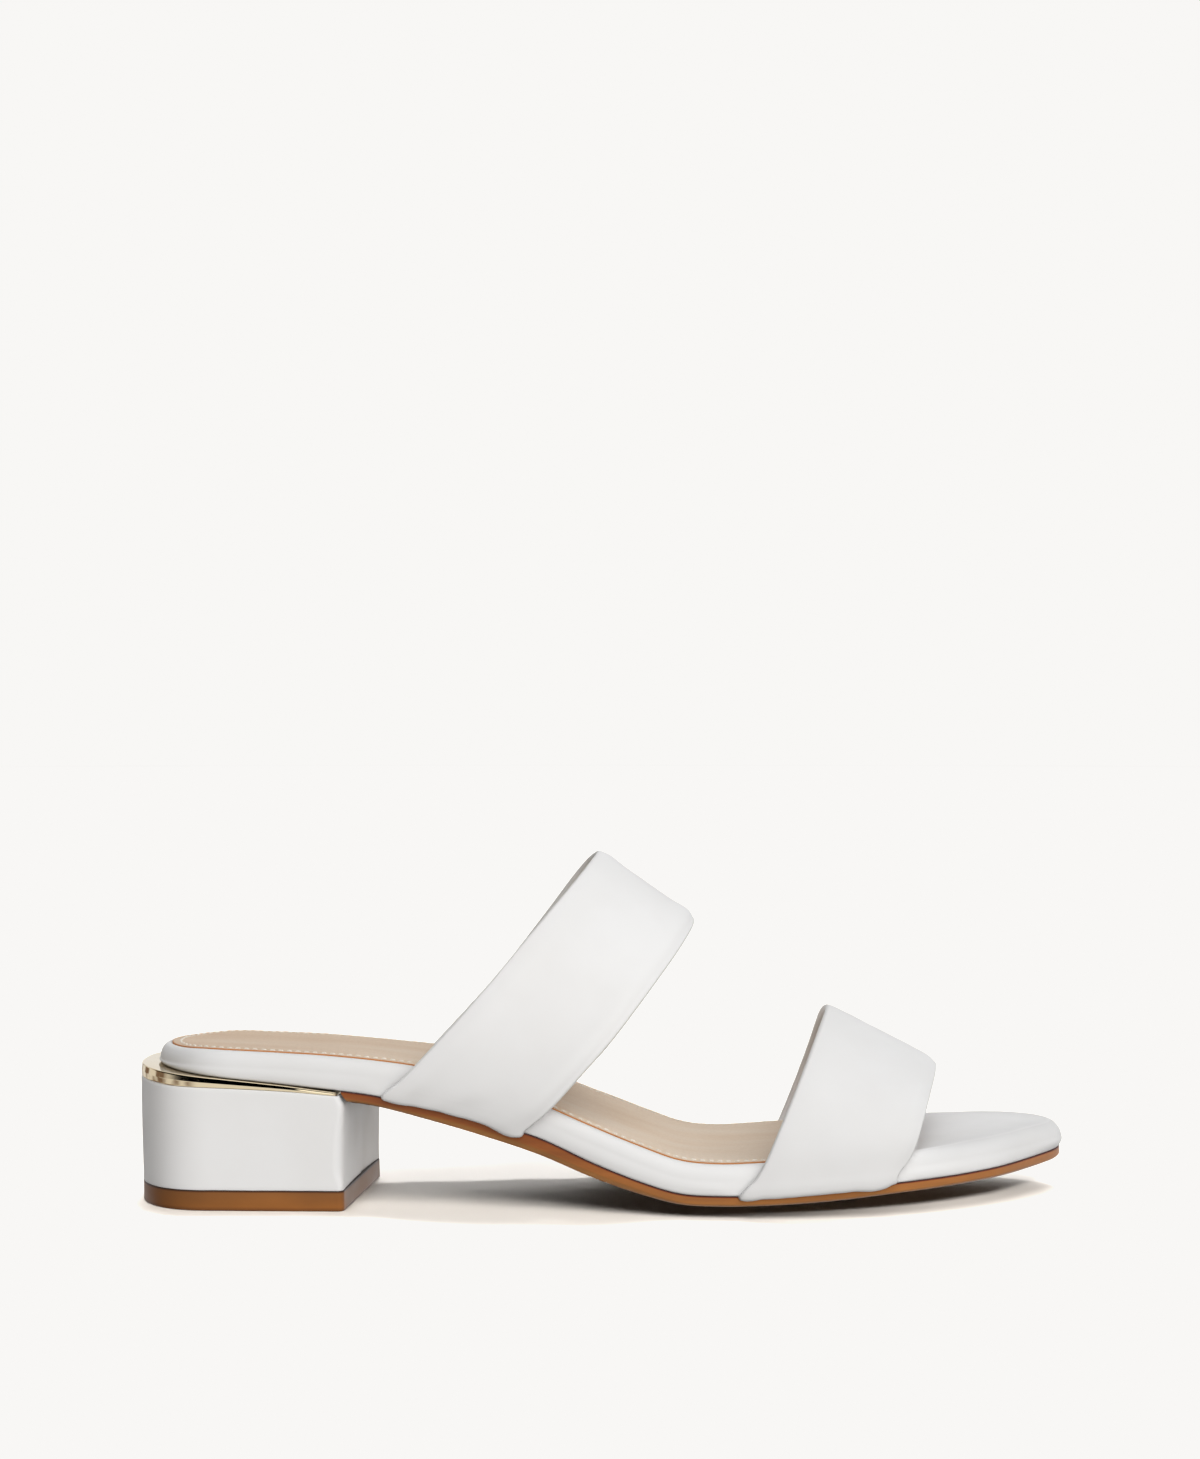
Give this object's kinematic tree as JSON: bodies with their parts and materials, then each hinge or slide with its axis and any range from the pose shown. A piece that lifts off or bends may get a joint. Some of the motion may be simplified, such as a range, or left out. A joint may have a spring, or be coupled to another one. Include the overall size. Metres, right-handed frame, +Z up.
{
  "type": "dress sandal",
  "caption": "Open-toed slip-on dress sandal with wide leather straps over a padded footbed, and a low block heel under a thin polished rim.",
  "frame": {"origin": "centre of the shoe's bounding box, on the floor that it stands on", "axes": "+X from heel to toe, +Y to the medial (big toe) side of this right shoe, +Z up"},
  "size_m": [0.252, 0.0819, 0.0942],
  "materials": {
    "white_leather": "smooth white leather, soft satin",
    "sock_leather": "smooth tan leather, matte, dyed edge",
    "tan_sole": "smooth tan sole with a painted edge, satin",
    "gold_metal": "polished pale gold",
    "tan_rubber": "tan rubber, matte"
  },
  "bodies": {
    "root": {"footbed": "white_leather", "insole_sock": "sock_leather", "outsole": "tan_sole", "heel_block": "white_leather", "heel_rim": "gold_metal", "heel_top_lift": "tan_rubber", "strap_rear": "white_leather", "strap_front": "white_leather"}
  },
  "joints": []
}
